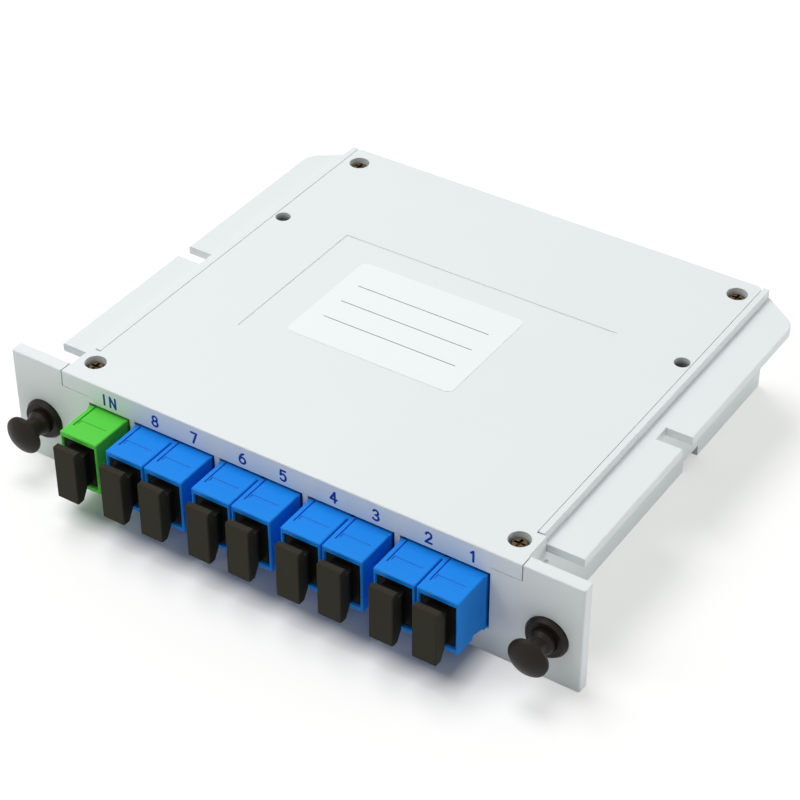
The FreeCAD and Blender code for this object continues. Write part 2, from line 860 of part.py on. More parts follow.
def make_grommet(x):
    """Snap-in latch sleeve: coned flange, and a split tail whose ridge sits in the panel's recess."""
    barrel = latch_hole_radius - grommet_hole_gap
    bore = barrel - grommet_wall
    ridge_start = panel_thickness - latch_recess_depth + grommet_hole_gap
    ridge_end = ridge_start + grommet_ridge_length
    tail_end = panel_thickness + grommet_tail
    profile = [
        (bore, -grommet_flange_thickness),
        (grommet_face_radius, -grommet_flange_thickness),
        (grommet_flange_radius, -grommet_flange_thickness / 3),
        (grommet_flange_radius, 0),
        (barrel, 0),
        (barrel, ridge_start),
        (barrel + grommet_ridge, ridge_start),
        (barrel, ridge_end),
        (barrel, tail_end - grommet_tail_chamfer),
        (barrel - grommet_tail_chamfer, tail_end),
        (bore, tail_end),
    ]
    sleeve = turned_about_y(profile, x, latch_z)
    reach = barrel + grommet_ridge + margin
    half = grommet_slot_width / 2
    slots = [
        box(x - reach, x + reach, ridge_start, tail_end + margin, latch_z - half, latch_z + half),
        box(x - half, x + half, ridge_start, tail_end + margin, latch_z - reach, latch_z + reach),
    ]
    return cut(sleeve, slots)


def plunger_radius():
    """Radius of the plunger's stem, which slides in the grommet's bore."""
    return latch_hole_radius - grommet_hole_gap - grommet_wall - plunger_clearance


def make_plunger(x):
    """Push-pull plunger, pulled out: domed head, slim neck, flared stem and chamfered tip."""
    stem = plunger_radius()
    head_back = -(grommet_flange_thickness + plunger_rest_gap + plunger_travel)
    slope_end = head_back - plunger_back_slope
    rim = head_back - plunger_head_thickness
    apex = rim - plunger_dome_rise
    neck_end = head_back + plunger_neck_length
    stem_start = neck_end + plunger_flare
    tip = plunger_tail
    dome_edge = plunger_head_radius - plunger_rim_chamfer
    dome_radius = (dome_edge ** 2 + plunger_dome_rise ** 2) / (2 * plunger_dome_rise)
    dome_half = apex + dome_radius - math.sqrt(dome_radius ** 2 - dome_edge ** 2 / 4)
    start = Vector(x, apex, latch_z)
    middle = Vector(x + dome_edge / 2, dome_half, latch_z)
    end = Vector(x + dome_edge, rim, latch_z)
    edges = [Part.Arc(start, middle, end).toShape()]
    profile = [
        (dome_edge, rim),
        (plunger_head_radius, rim + plunger_rim_chamfer),
        (plunger_head_radius, slope_end),
        (plunger_back_radius, head_back),
        (plunger_neck_radius, head_back),
        (plunger_neck_radius, neck_end),
        (stem, stem_start),
        (stem, tip - plunger_tip_chamfer),
        (stem - plunger_tip_chamfer, tip),
        (0, tip),
        (0, apex),
    ]
    points = [Vector(x + radius, y, latch_z) for radius, y in profile]
    edges += [Part.makeLine(points[i], points[i + 1]) for i in range(len(points) - 1)]
    face = Part.Face(Part.Wire(edges))
    return face.revolve(Vector(x, 0, latch_z), Vector(0, 1, 0), 360)


# ---------------------------------------------------- inside the splitter ----

def make_module():
    """Splitter chip's steel tube, lying on the floor between the cradle walls."""
    half = module_length / 2
    half_width = module_width / 2
    block = box(-half, half, coil_middle - half_width, coil_middle + half_width,
                floor_thickness, floor_thickness + module_height)
    long_edges = [edge for edge in block.Edges if edge.BoundBox.XLength > module_length / 2]
    return block.makeChamfer(module_edge, long_edges)


def make_coil():
    """Stored fibre: a flat band wound round the guide fins, in a racetrack on the floor."""
    band = racetrack(coil_outer_radius).cut(racetrack(coil_outer_radius - coil_band))
    return band.removeSplitter()


def racetrack(radius):
    """Solid with two straight sides and two half-round ends, as high as the stored fibre."""
    low = floor_thickness
    high = floor_thickness + coil_height
    middle = box(-coil_half_straight, coil_half_straight, coil_middle - radius, coil_middle + radius,
                 low, high)
    ends = [upright(radius, end * coil_half_straight, coil_middle, low, high) for end in (-1, 1)]
    return fuse([middle] + ends)


def make_ribbon():
    """Flat ribbon of the eight output fibres, from the module to the stored fibre."""
    start = module_length / 2
    end = coil_half_straight + coil_outer_radius - coil_band - fibre_end_gap
    half = ribbon_width / 2
    low = module_middle_level - ribbon_thickness / 2
    return box(start, end, coil_middle - half, coil_middle + half, low, low + ribbon_thickness)


def make_input_lead():
    """Single fibre from the stored fibre to the module's input end."""
    start = -module_length / 2
    end = -(coil_half_straight + coil_outer_radius - coil_band - fibre_end_gap)
    return Part.makeCylinder(fibre_radius, start - end, Vector(end, coil_middle, module_middle_level),
                             Vector(1, 0, 0))


def coil_front(x):
    """Y of the stored fibre's outer side, nearest the panel, at a fibre's X."""
    past = max(0.0, abs(x) - fibre_radius - coil_half_straight)
    return coil_middle - math.sqrt(coil_outer_radius ** 2 - past ** 2)


def make_pigtail(x):
    """Fibre from a connector's boot straight back to the stored fibre."""
    start = adapter_back + connector_reach + boot_length
    end = coil_front(x) - fibre_end_gap
    return along_y(fibre_radius, x, adapter_middle, start, end)


# ------------------------------------------------------------------ all ----

def main():
    os.makedirs("parts", exist_ok=True)
    save("base", make_base())
    save("lid", make_lid())
    save("label", make_label())
    save("cover_screws", make_screws())
    for side, word in ((-1, "left"), (1, "right")):
        save("grommet_" + word, make_grommet(side * latch_x))
        save("plunger_" + word, make_plunger(side * latch_x))
    names = ["in"] + [str(number) for number in range(output_count, 0, -1)]
    for name, x in zip(names, adapter_centres()):
        save("adapter_" + name, make_adapter(x))
        save("cap_" + name, make_cap(x))
        save("sleeve_" + name, make_sleeve(x))
        save("connector_" + name, make_connector(x))
        save("pigtail_" + name, make_pigtail(x))
    save("splitter_module", make_module())
    save("fibre_coil", make_coil())
    save("output_ribbon", make_ribbon())
    save("input_lead", make_input_lead())


main()
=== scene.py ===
# %% [markdown]
# A plug-in fibre splitter: a flat, light grey moulded cassette with nine fibre
# ports along its front panel. One port, the green one, takes the incoming
# fibre, and eight blue ones give it out again. This lesson dresses the
# measured model for a studio picture: it sets the camera, works out the
# plastics one by one, adds the printed port numbers, and lights the set.

import json
import math

import bpy
import numpy as np
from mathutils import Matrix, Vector


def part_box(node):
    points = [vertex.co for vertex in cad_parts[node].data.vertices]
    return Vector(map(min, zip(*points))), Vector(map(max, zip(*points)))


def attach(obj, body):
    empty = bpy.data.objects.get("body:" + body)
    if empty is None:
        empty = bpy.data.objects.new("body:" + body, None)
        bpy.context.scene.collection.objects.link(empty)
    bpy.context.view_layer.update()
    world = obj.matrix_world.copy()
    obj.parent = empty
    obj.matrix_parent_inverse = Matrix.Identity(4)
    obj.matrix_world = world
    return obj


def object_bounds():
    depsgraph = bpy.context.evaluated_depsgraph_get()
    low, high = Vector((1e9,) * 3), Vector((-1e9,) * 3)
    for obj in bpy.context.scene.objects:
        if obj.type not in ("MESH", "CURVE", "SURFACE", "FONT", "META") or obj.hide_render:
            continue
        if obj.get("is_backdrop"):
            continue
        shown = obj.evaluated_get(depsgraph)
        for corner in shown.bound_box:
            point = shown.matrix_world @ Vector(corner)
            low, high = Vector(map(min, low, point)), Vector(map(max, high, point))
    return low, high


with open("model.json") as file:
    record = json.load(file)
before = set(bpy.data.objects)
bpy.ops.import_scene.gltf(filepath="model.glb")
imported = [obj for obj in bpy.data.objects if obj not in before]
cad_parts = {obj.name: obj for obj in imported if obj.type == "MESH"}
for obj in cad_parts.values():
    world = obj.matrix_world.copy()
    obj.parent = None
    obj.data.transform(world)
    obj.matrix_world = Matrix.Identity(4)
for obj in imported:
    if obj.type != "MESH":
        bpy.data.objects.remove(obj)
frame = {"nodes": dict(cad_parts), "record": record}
nodes = frame["nodes"]
model_low, model_high = (np.array(corner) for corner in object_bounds())
model_size = model_high - model_low
MM = 0.001
print("model size in mm", np.round(model_size / MM, 1))

# %% [markdown]
# The camera comes first, because everything else is judged through it. It
# looks down at the front right corner of the cassette from a little under
# half a metre, with a long lens, so that the far edge of the lid is only a
# little smaller than the near one. Turning about the upright axis and tilting
# down are two angles; the place then follows from the aim and the distance.

# %% Camera
CAMERA_TURN = math.radians(33.124)
CAMERA_TILT = math.radians(37.458)
CAMERA_DISTANCE = 460.8 * MM
CAMERA_LENS_MM = 104.0
CAMERA_SENSOR_MM = 36.0
CAMERA_AIM = Vector((0.515 * MM, -3.15 * MM, 13.68 * MM))

away = Vector((
    math.sin(CAMERA_TURN) * math.cos(CAMERA_TILT),
    -math.cos(CAMERA_TURN) * math.cos(CAMERA_TILT),
    math.sin(CAMERA_TILT),
))
camera_data = bpy.data.cameras.new("studio_camera")
camera_data.lens = CAMERA_LENS_MM
camera_data.sensor_width = CAMERA_SENSOR_MM
camera_data.clip_start = 0.01
camera = bpy.data.objects.new("studio_camera", camera_data)
camera.location = CAMERA_AIM + away * CAMERA_DISTANCE
camera.rotation_euler = (-away).to_track_quat("-Z", "Y").to_euler()
bpy.context.scene.collection.objects.link(camera)
bpy.context.scene.camera = camera
print("camera stands at", [round(v, 3) for v in camera.location])

# %% [markdown]
# A material is a graph of nodes, and most of that graph is arithmetic. Drawing
# it by hand is slow to read, so a socket is wrapped in a small class whose
# operators add the Math node for us: 1 - mask then makes one Math node. Every
# other kind of node comes from one method, which sets the node's own choices
# first and then its inputs.

# %% Shader arithmetic
EDGE_SAMPLES = 6
EDGE_GAIN = 6


class Value:
    """A number that varies over the surface, held by an output socket."""

    def __init__(self, graph, socket):
        self.graph = graph
        self.socket = socket

    def _math(self, operation, *others):
        return self.graph.number(operation, self, *others)

    def __add__(self, other):
        return self._math("ADD", other)

    __radd__ = __add__

    def __mul__(self, other):
        return self._math("MULTIPLY", other)

    __rmul__ = __mul__

    def __sub__(self, other):
        return self._math("SUBTRACT", other)

    def __rsub__(self, other):
        return self.graph.number("SUBTRACT", other, self)

    def __truediv__(self, other):
        return self._math("DIVIDE", other)

    def __rtruediv__(self, other):
        return self.graph.number("DIVIDE", other, self)

    def __pow__(self, other):
        return self._math("POWER", other)

    def __rpow__(self, other):
        return self.graph.number("POWER", other, self)

    def clamp(self):
        """The same number held between 0 and 1."""
        return self._math("MAXIMUM", 0.0)._math("MINIMUM", 1.0)


class Graph:
    """The node tree of a new material or of a given sky, with a call for each thing it needs."""

    def __init__(self, name, sky=None):
        self.owner = sky or bpy.data.materials.new(name)
        self.owner.use_nodes = True
        self.tree = self.owner.node_tree
        self.tree.nodes.clear()
        self.output = self.node("ShaderNodeOutputWorld" if sky else "ShaderNodeOutputMaterial")
        self.spot = None

    def node(self, kind, settings=None, inputs=None):
        """Adds a node: its own choices first, then a number or a link for each named socket."""
        made = self.tree.nodes.new(kind)
        for key, choice in (settings or {}).items():
            setattr(made, key, choice)
        for key, value in (inputs or {}).items():
            self.feed(made.inputs[key], value)
        return made

    def feed(self, socket, value):
        """Links a socket to an output, or sets it to a number, vector or colour."""
        if isinstance(value, Value):
            value = value.socket
        if isinstance(value, bpy.types.NodeSocket):
            self.tree.links.new(value, socket)
        else:
            socket.default_value = value

    def number(self, operation, *values):
        """One Math node over these numbers."""
        made = self.node("ShaderNodeMath", {"operation": operation}, dict(enumerate(values)))
        return Value(self, made.outputs[0])

    def place(self):
        """Where a point lies on the piece, in metres."""
        if self.spot is None:
            self.spot = self.node("ShaderNodeTexCoord").outputs["Object"]
        return self.spot

    def along(self, axis):
        """One coordinate of a point on the piece, in metres."""
        apart = self.node("ShaderNodeSeparateXYZ", None, {"Vector": self.place()})
        return Value(self, apart.outputs[axis])

    def noise(self, size, detail=2.0, roughness=0.5, stretch=(1, 1, 1)):
        """Soft random pattern from 0 to 1 whose blotches are about one size across."""
        scale = tuple(s / size for s in stretch)
        spread = self.node("ShaderNodeMapping", None, {"Vector": self.place(), "Scale": scale})
        made = self.node("ShaderNodeTexNoise", None, {
            "Vector": spread.outputs[0], "Scale": 1.0, "Detail": detail, "Roughness": roughness,
        })
        return Value(self, made.outputs["Fac"])

    def mix(self, share, first, second):
        """Colour between two colours; share 0 gives the first and 1 the second."""
        made = self.node("ShaderNodeMix", {"data_type": "RGBA", "blend_type": "MIX"}, {0: share})
        self.feed(made.inputs[6], first)
        self.feed(made.inputs[7], second)
        return made.outputs[2]

    def soft_edges(self, radius):
        """Surface direction as if every sharp edge had been rounded to this radius."""
        settings = {"samples": EDGE_SAMPLES}
        return self.node("ShaderNodeBevel", settings, {"Radius": radius}).outputs[0]

    def edge_mask(self, softened):
        """0 on a flat face, rising to 1 where the rounded direction turns away from it."""
        flat = self.node("ShaderNodeNewGeometry").outputs["Normal"]
        return ((1 - self.dot(softened, flat)) * EDGE_GAIN).clamp()

    def dot(self, first, second):
        """Dot product of two directions: 1 where they agree, -1 where they are opposite."""
        inputs = {0: first, 1: second}
        made = self.node("ShaderNodeVectorMath", {"operation": "DOT_PRODUCT"}, inputs)
        return Value(self, made.outputs["Value"])

    def bump(self, height, depth, normal=None):
        """Surface direction with a relief of this depth in metres."""
        inputs = {"Height": height, "Distance": depth}
        if normal is not None:
            inputs["Normal"] = normal
        return self.node("ShaderNodeBump", None, inputs).outputs[0]

    def looking(self):
        """1 for a ray the camera sees by, straight, mirrored or through glass, else 0."""
        path = self.node("ShaderNodeLightPath").outputs
        seen, mirrored, through = (
            Value(self, path[kind])
            for kind in ("Is Camera Ray", "Is Glossy Ray", "Is Transmission Ray")
        )
        return (seen + mirrored + through).clamp()

    def blend(self, share, first, second=None):
        """Shader between two shaders; share 0 gives the first and 1 the second, or black."""
        inputs = {0: share, 1: first.outputs[0]}
        if second is not None:
            inputs[2] = second.outputs[0]
        return self.node("ShaderNodeMixShader", None, inputs)

    def surface(self, **inputs):
        """Principled surface with these inputs, named with _ for a space."""
        named = {key.replace("_", " "): value for key, value in inputs.items()}
        return self.finish(self.node("ShaderNodeBsdfPrincipled", None, named))

    def finish(self, shader):
        """Joins the last shader to the output and gives back the material or sky."""
        self.feed(self.output.inputs["Surface"], shader.outputs[0])
        return self.owner


def srgb(red, green, blue):
    """Screen colour from 0 to 255 as the linear colour a shader works in."""
    levels = np.array([red, green, blue]) / 255.0
    linear = np.where(levels <= 0.04045, levels / 12.92, ((levels + 0.055) / 1.055) ** 2.4)
    return (*(float(v) for v in linear), 1.0)


def darker(colour, share):
    """The same colour with its light cut to a share."""
    return (*(float(v) * share for v in colour[:3]), 1.0)


def paint(material, *names):
    """Puts one material on CAD pieces, in place of their plain one."""
    for name in names:
        slots = nodes[name].data.materials
        slots.clear()
        slots.append(material)
    print(material.name, "on", len(names), "pieces")


# %% [markdown]
# Most moulded parts share one recipe. The colour drifts a very little from
# place to place, because pigment never mixes quite evenly. The steel mould was
# etched, so the surface carries a fine grain, which both spreads the highlight
# and varies it. And no moulded edge is truly sharp: it is rounded by a tenth
# of a millimetre or so, and that rounding catches a thin line of light. The
# Bevel node works it out while rendering, so the measured mesh stays as it is.
# Some parts also get a painted highlight, a paler colour along their edges,
# and some get painted shade, a darker colour where a mask says so.

# %% Recipe for moulded plastic
DRIFT_SIZE = 18 * MM
GLOSS_GRAIN = 0.1
EDGE_HIGHLIGHT_PALENESS = 0.25
PAINTED_SHADE_SHARE = 0.1


def moulded(name, colour, gloss_spread, grain_size, grain_depth, drift=0.04,
            shine=0.5, edge=0.12 * MM, edge_highlight=0.0, painted_shade=None):
    """Plastic with a slow drift of colour, a fine grain, soft edges that can carry a painted
    highlight, and painted shade where a mask asks for it.

    The last argument, if given, makes a mask from the graph: where it is 1 the colour falls to a
    small share of itself, a painted shade.
    """
    graph = Graph(name)
    slow = graph.noise(DRIFT_SIZE, detail=1.0)
    grain = graph.noise(grain_size, detail=3.0, roughness=0.6)
    softened = graph.soft_edges(edge)
    tint = graph.mix(slow, darker(colour, 1 - drift), darker(colour, 1 + drift))
    # Painted highlight: the colour turns paler along the edges, where the rounding catches
    # light.
    if edge_highlight:
        pale = (*(1 - (1 - channel) * (1 - EDGE_HIGHLIGHT_PALENESS) for channel in colour[:3]), 1.0)
        tint = graph.mix(graph.edge_mask(softened) * edge_highlight, tint, pale)
    # Painted shade: where the mask is 1 the colour turns dark.
    if painted_shade:
        tint = graph.mix(painted_shade(graph), tint, darker(colour, PAINTED_SHADE_SHARE))
    return graph.surface(
        Base_Color=tint,
        Roughness=gloss_spread + (grain - 0.5) * GLOSS_GRAIN,
        Normal=graph.bump(grain, grain_depth, softened),
        Specular_IOR_Level=shine,
    )


# %% [markdown]
# The case is light grey ABS with a satin finish. Its grain is about a fifth of
# a millimetre across and a few microns deep: too fine to see as spots, but it
# keeps the lid from shining like glass. The walls of the two through holes
# carry painted shade: from a little below the lid's top they turn darker.

# %% Case plastic
HOLE_MARGIN = 0.03 * MM
HOLE_SHADE = 0.75
HOLE_SHADE_START = 0.5 * MM
HOLE_SHADE_RAMP = 1.1 * MM

mounts = {mount["name"]: mount for mount in frame["record"]["mounts"]}
through_holes = mounts["fixing_holes"]
hole_reach = through_holes["dims"]["hole_r_mm"] * MM + HOLE_MARGIN
hole_out = through_holes["dims"]["spacing_x_mm"] * MM / 2
hole_back = through_holes["pos_m"][1]


def down_a_hole(graph):
    """The painted shade on a through hole's wall, none near the lid's top and HOLE_SHADE deeper
    down.

    A point is in a hole where the root of (|x| - hole_out)^2 + (y - hole_back)^2 is under
    hole_reach.
    """
    out = graph.number("ABSOLUTE", graph.along("X")) - hole_out
    back = graph.along("Y") - hole_back
    inside = graph.number("LESS_THAN", (out * out + back * back) ** 0.5, hole_reach)
    shade_top = float(model_high[2]) - HOLE_SHADE_START
    return inside * ((shade_top - graph.along("Z")) / HOLE_SHADE_RAMP).clamp() * HOLE_SHADE


# The hole walls darken with painted shade.
case_plastic = moulded("case_plastic", srgb(231, 236, 237), 0.5, 0.22 * MM, 0.003 * MM,
                       drift=0.01, shine=0.3, painted_shade=down_a_hole)
paint(case_plastic, "base", "lid")

# %% [markdown]
# The adapters are a harder plastic, blue for polished flat connectors and
# green for angled ones. The dust caps and the latches are soft black plastics
# with a brown cast. Black plastic looks black only if it mirrors little, so
# both have a low shine, and the latches a little more of it than the caps,
# where fingers have polished them. A cap's neck and plug sit in the shade of
# its port, and that shade is painted: their colour darkens from the grip plate
# towards the port's mouth. The adapters, caps and latches also get a painted
# highlight along their edges.

# %% Adapters, caps and latches
NECK_SHADE_START = 1.92 * MM
NECK_SHADE_RAMP = 1.2 * MM

ports = ["in"] + [str(number) for number in range(1, 9)]
outputs = ports[1:]

blue_plastic = moulded("adapter_blue", srgb(16, 137, 238), 0.5, 0.35 * MM, 0.003 * MM,
                       drift=0.05, shine=0.15, edge_highlight=0.35)
green_plastic = moulded("adapter_green", srgb(88, 211, 67), 0.5, 0.35 * MM, 0.003 * MM,
                        drift=0.05, shine=0.2, edge_highlight=0.35)
port_mouth = float(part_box("adapter_1")[0][1])


def toward_mouth(graph):
    """Mask of painted shade on a cap: 0 on its grip plate, rising along its neck to 1 just
    before the adapters' fronts.
    """
    return ((graph.along("Y") - (port_mouth - NECK_SHADE_START)) / NECK_SHADE_RAMP).clamp()


# The caps' necks darken with painted shade towards the ports' mouths.
cap_plastic = moulded("cap_plastic", srgb(44, 42, 31), 0.6, 0.25 * MM, 0.006 * MM,
                      drift=0.15, shine=0.12, edge_highlight=0.05, painted_shade=toward_mouth)
latch_plastic = moulded("latch_plastic", srgb(31, 26, 19), 0.42, 0.3 * MM, 0.004 * MM,
                        drift=0.15, shine=0.2, edge_highlight=0.05)

paint(blue_plastic, *("adapter_" + port for port in outputs))
paint(green_plastic, "adapter_in")
paint(cap_plastic, *("cap_" + port for port in ports))
paint(latch_plastic, "grommet_left", "grommet_right", "plunger_left", "plunger_right")

# %% [markdown]
# Inside the ports and the case sit pieces that show only when a cap is pulled:
# white ceramic sleeves, the plugs behind them, and the fibre itself. They get
# plain honest finishes of their own.

# %% Inner pieces
ceramic = moulded("sleeve_ceramic", srgb(244, 240, 230), 0.18, 0.5 * MM, 0.001 * MM,
                  edge=0.05 * MM)
plug_blue = moulded("connector_blue", srgb(30, 110, 215), 0.4, 0.35 * MM, 0.003 * MM,
                    shine=0.3)
plug_green = moulded("connector_green", srgb(70, 190, 60), 0.4, 0.35 * MM, 0.003 * MM,
                     shine=0.3)
jacket = moulded("fibre_jacket", srgb(240, 240, 232), 0.5, 0.4 * MM, 0.004 * MM)
ribbon_coat = moulded("ribbon_coat", srgb(222, 208, 120), 0.25, 0.4 * MM, 0.002 * MM)

paint(ceramic, *("sleeve_" + port for port in ports))
paint(plug_blue, *("connector_" + port for port in outputs))
paint(plug_green, "connector_in")
paint(jacket, "fibre_coil", "input_lead", *("pigtail_" + port for port in ports))
paint(ribbon_coat, "output_ribbon")

# %% [markdown]
# Metal is a mirror with scratches. The screws are steel with a yellow
# passivated coat, which reads as dull brass, and the splitter's tube is
# brushed along its length, so its noise is stretched along X.

# %% Metals
METAL_EDGE = 0.1 * MM
METAL_RELIEF = 0.004 * MM
METAL_GLOSS_GRAIN = 0.2
METAL_DARK = 0.8


def metal(name, colour, spread, size, stretch):
    """Metal whose roughness follows a noise stretched along the direction of brushing."""
    graph = Graph(name)
    brushed = graph.noise(size, detail=3.0, stretch=stretch)
    return graph.surface(
        Base_Color=graph.mix(brushed, darker(colour, METAL_DARK), colour),
        Metallic=1.0,
        Roughness=spread + (brushed - 0.5) * METAL_GLOSS_GRAIN,
        Normal=graph.bump(brushed, METAL_RELIEF, graph.soft_edges(METAL_EDGE)),
    )


screw_metal = metal("screw_coat", srgb(98, 84, 62), 0.38, 0.3 * MM, (1, 1, 1))
tube_metal = metal("module_steel", srgb(205, 205, 205), 0.3, 0.2 * MM, (0.05, 1, 1))
paint(screw_metal, "cover_screws")
paint(tube_metal, "splitter_module")

# %% [markdown]
# The label is coated paper: whiter than the case and a touch smoother, with
# fibres too fine to see. On a splitter it carries a few lines of data. Here
# their place holds three thin ruled lines, grey on white. A point gets ink
# where it lies close enough to a line's middle and far enough from the label's
# sides, so two distances and two comparisons draw the lot.

# %% Label paper
RULE_PLACES = (0.28, 0.5, 0.72)
RULE_MARGIN = 0.1
RULE_HALF_WIDTH = 0.11 * MM

label_low, label_high = (np.array(corner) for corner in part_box("label"))
label_size = label_high - label_low
label_graph = Graph("label_paper")
paper_fibre = label_graph.noise(0.3 * MM, detail=4.0)
label_middle = float(label_low[0] + label_high[0]) / 2
rule_reach = float(label_size[0]) * (0.5 - RULE_MARGIN)
off_label_middle = label_graph.number("ABSOLUTE", label_graph.along("X") - label_middle)
off_margins = label_graph.number("LESS_THAN", off_label_middle, rule_reach)


def ruled_line(share):
    """1 in a thin line across the label at this share of its depth from the front, else 0."""
    line_place = float(label_low[1] + share * label_size[1])
    off_line = label_graph.number("ABSOLUTE", label_graph.along("Y") - line_place)
    return label_graph.number("LESS_THAN", off_line, RULE_HALF_WIDTH)


ruling = sum(ruled_line(share) for share in RULE_PLACES) * off_margins
blank = label_graph.mix(paper_fibre, srgb(237, 242, 243), srgb(243, 248, 248))
label_paper = label_graph.surface(
    Base_Color=label_graph.mix(ruling, blank, srgb(120, 124, 126)),
    Roughness=0.5 + (paper_fibre - 0.5) * 0.08,
    Normal=label_graph.bump(paper_fibre, 0.003 * MM),
    Specular_IOR_Level=0.3,
)
paint(label_paper, "label")

# %% [markdown]
# The port numbers are pad printed in blue on the front strip: a soft pad
# presses ink on in strokes of one width with round ends. A font would give
# strokes of changing width, so each mark is drawn as a few centre lines, arcs
# and straight runs in a box one unit high, and ink is laid along them.

# %% Centre lines of the marks
ARC_POINTS = 33


def run(*corners):
    """Straight strokes from corner to corner, each one an array of two points."""
    return [np.array([start, end], float) for start, end in zip(corners, corners[1:])]


def bow(centre, radius, start, end):
    """Arc of an ellipse: centre + radius * (cos a, sin a), a from start to end degrees."""
    turn = np.radians(np.linspace(start, end, ARC_POINTS))
    circle = np.stack([np.cos(turn), np.sin(turn)], axis=1)
    return [np.array(centre) + np.array(radius) * circle]


MARKS = {
    "1": run((-0.16, 0.80), (0.05, 1.0), (0.05, 0.0)),
    "2": bow((0.0, 0.72), (0.25, 0.28), 165, -38) + run((0.2, 0.55), (-0.27, 0.0), (0.28, 0.0)),
    "3": bow((-0.02, 0.76), (0.23, 0.24), 150, -90) + bow((-0.02, 0.26), (0.28, 0.26), 90, -150),
    "4": run((0.12, 0.0), (0.12, 1.0), (-0.28, 0.3), (0.3, 0.3)),
    "5": (run((0.23, 1.0), (-0.2, 1.0), (-0.23, 0.53))
          + bow((-0.01, 0.33), (0.28, 0.33), 142, -145)),
    "6": bow((0.0, 0.3), (0.28, 0.3), 0, 360) + bow((0.3, 0.3), (0.58, 0.72), 180, 108),
    "7": run((-0.27, 1.0), (0.27, 1.0), (-0.08, 0.0)),
    "8": bow((0.0, 0.76), (0.22, 0.24), 0, 360) + bow((0.0, 0.26), (0.28, 0.26), 0, 360),
    "I": run((0.0, 0.0), (0.0, 1.0)),
    "N": run((-0.27, 0.0), (-0.27, 1.0), (0.27, 0.0), (0.27, 1.0)),
}
stroke_count = sum(len(strokes) for strokes in MARKS.values())
print(len(MARKS), "marks drawn from", stroke_count, "strokes")

# %% [markdown]
# Ink is laid as a low rounded bead: at each point of the centre line stands
# half an ellipse, as wide as the stroke and a few hundredths of a millimetre
# high. Its width shrinks to nothing over the last half width at both ends, by
# the formula of a circle, which rounds them and closes the surface.

# %% Bead of ink along a line
END_RINGS = 7
BODY_RINGS = 3
SECTION_POINTS = 9
TINY = 1e-9


def bead(points, width, height):
    """Vertices and faces of a bead along flat points (u, v); w is its height over the ground.

    The section at each point is half an ellipse: across = width / 2 * cos a and
    up = height * sin a, with a from 0 to 180 degrees. Both are multiplied by
    sqrt(1 - t * t), where t runs from 0 to 1 over the last half width at each end.
    """
    steps = np.linalg.norm(np.diff(points, axis=0), axis=1)
    reach = np.concatenate([[0.0], np.cumsum(steps)])
    length = reach[-1]
    half = width / 2
    end = half * (1 - np.cos(np.linspace(0, np.pi / 2, END_RINGS)))
    rings = BODY_RINGS * max(1, int(length / half))
    body = np.linspace(half, length + half, rings)
    places = np.concatenate([end[:-1], body, length + 2 * half - end[-2::-1]]) - half
    inside = np.clip(places, 0, length)
    line = np.stack([np.interp(inside, reach, points[:, axis]) for axis in (0, 1)], axis=1)
    tangent = np.gradient(line, inside + np.arange(len(inside)) * TINY, axis=0)
    start_way = (points[1] - points[0]) / steps[0]
    end_way = (points[-1] - points[-2]) / steps[-1]
    tangent = np.where((places <= 0)[:, None], start_way, tangent)
    tangent = np.where((places >= length)[:, None], end_way, tangent)
    tangent /= np.linalg.norm(tangent, axis=1)[:, None]
    line = line + tangent * (places - inside)[:, None]
    swell = np.sqrt(np.clip(1 - (np.abs(places - inside) / half) ** 2, 0, 1))
    across = np.stack([-tangent[:, 1], tangent[:, 0]], axis=1)
    angle = np.linspace(0, np.pi, SECTION_POINTS)
    side = (half * np.cos(angle))[None, :] * swell[:, None]
    rise = (height * np.sin(angle))[None, :] * swell[:, None]
    flat = line[:, None, :] + across[:, None, :] * side[:, :, None]
    grid = np.concatenate([flat, rise[:, :, None]], axis=2)
    rows, columns = grid.shape[:2]
    index = np.arange(rows * columns).reshape(rows, columns)
    corners = [index[:-1, :-1], index[:-1, 1:], index[1:, 1:], index[1:, :-1]]
    return grid.reshape(-1, 3), np.stack(corners, axis=-1).reshape(-1, 4)


def mesh_piece(name, vertices, faces, material):
    """New object at the origin with these vertices and faces, smooth shaded."""
    mesh = bpy.data.meshes.new(name)
    mesh.from_pydata(vertices.tolist(), [], faces.tolist())
    mesh.materials.append(material)
    mesh.shade_smooth()
    piece = bpy.data.objects.new(name, mesh)
    bpy.context.scene.collection.objects.link(piece)
    return piece


# %% [markdown]
# The marks stand in a row on the strip, each over its own port, a little way
# down from the lid's top edge. The strip's face is the plane of the panel's
# front, so a mark's u goes along X, its v up, and its rise towards -Y. The
# printing block never meets the strip quite true: the row comes out about one
# and a half parts in a hundred too long and a little to the right.

# %% Print the port numbers
MARK_HEIGHT = 2.35 * MM
STROKE_WIDTH = 0.5 * MM
INK_HEIGHT = 0.03 * MM
MARK_MIDDLE_BELOW_TOP = 2.85 * MM
INPUT_MARK_SPREAD = 2.1 * MM
PRINT_STRETCH = 1.0155
PRINT_SHIFT = 0.65 * MM

ink = moulded("print_ink", srgb(22, 66, 160), 0.5, 0.2 * MM, 0.002 * MM,
              drift=0.1, shine=0.2, edge=0.02 * MM)
front_plane = float(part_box("base")[0][1])
mark_foot = float(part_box("lid")[1][2]) - MARK_MIDDLE_BELOW_TOP - MARK_HEIGHT / 2


